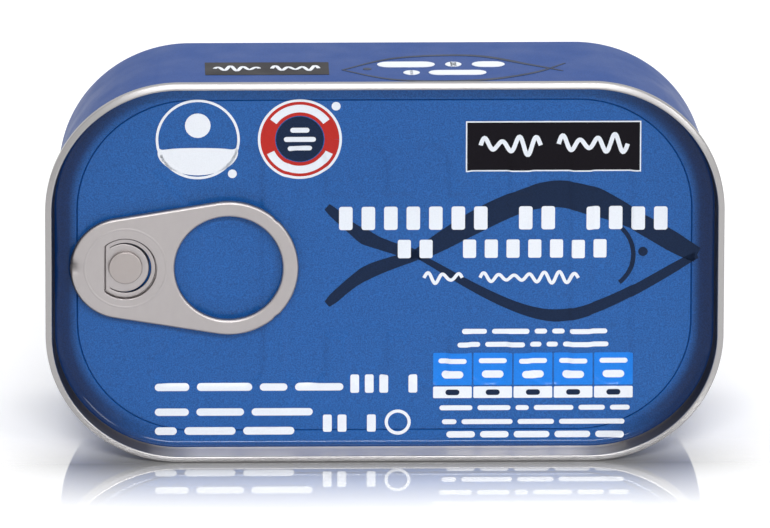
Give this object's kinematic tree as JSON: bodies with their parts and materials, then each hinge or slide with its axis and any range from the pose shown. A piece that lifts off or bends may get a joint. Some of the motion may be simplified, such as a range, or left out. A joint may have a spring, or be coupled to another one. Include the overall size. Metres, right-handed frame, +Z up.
{
  "type": "tuna can",
  "caption": "Shut rectangular fish can with rounded corners, seamed lid and ring-pull tab, standing on its long side. Blue enamel with plain printed shapes.",
  "frame": {"origin": "on the ground under the middle of the can", "axes": "+X along the can's length, +Y from the lid to the base, +Z up; the tab's nose points to -X"},
  "size_m": [0.1062, 0.0364, 0.062],
  "materials": {
    "body_enamel": "gloss",
    "lid_enamel": "satin",
    "tab_metal": "satin",
    "rim_metal": "satin",
    "white_ink": "satin",
    "black_ink": "satin",
    "navy_ink": "satin",
    "azure_ink": "satin",
    "red_ink": "satin"
  },
  "bodies": {
    "root": {"body": "body_enamel", "lid": "lid_enamel", "tab": "tab_metal"}
  },
  "joints": []
}
